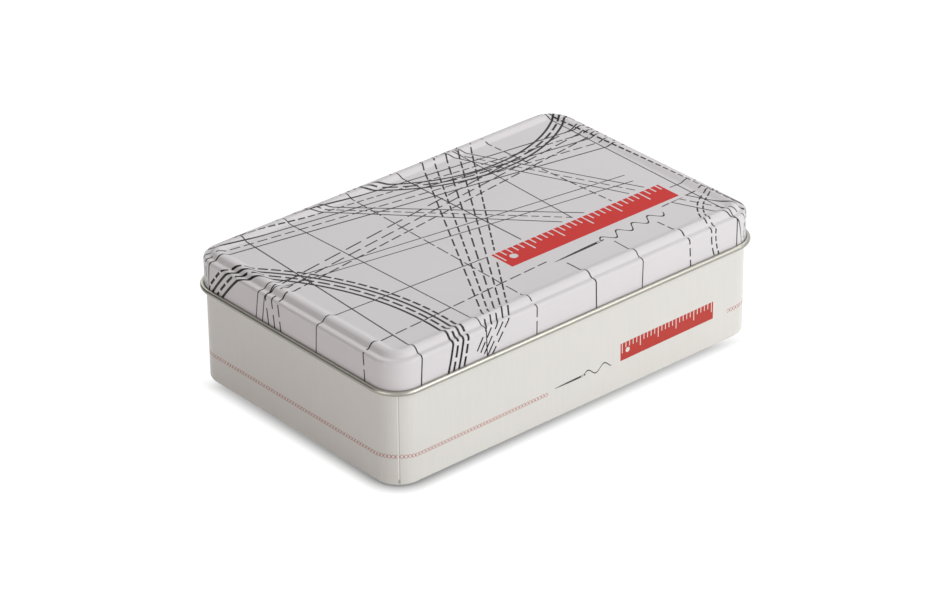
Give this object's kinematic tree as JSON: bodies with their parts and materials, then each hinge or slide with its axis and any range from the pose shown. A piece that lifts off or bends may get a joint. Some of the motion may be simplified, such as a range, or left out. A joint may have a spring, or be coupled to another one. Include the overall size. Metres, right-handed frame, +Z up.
{
  "type": "sewing machine attachment box",
  "caption": "Rectangular sheet-metal tin with rounded upright corners, a lock-seamed wall, a clinched base and a lift-off lid with a rolled edge and a raised ring.",
  "frame": {"origin": "on the surface that the tin stands on, in the middle of its base", "axes": "+X along the long side, -Y towards the front, which is a long side, and +Z up, the way the lid lifts"},
  "size_m": [0.2002, 0.1302, 0.0584],
  "materials": {
    "body_wall": "satin silver-white lacquer on tinplate",
    "base_plate": "bare tinplate under a clear gold-tinged lacquer",
    "lid": "glossy pearl-white print with fine dark lines, bare lacquered tinplate inside and on the roll"
  },
  "bodies": {
    "tin": {"body_wall": "body_wall", "base_plate": "base_plate"},
    "lid": {"lid": "lid"}
  },
  "joints": [
    {"name": "lid_lift", "type": "slide", "parent": "tin", "child": "lid", "axis": [0, 0, 1], "range_m": [0, 0.06]}
  ]
}
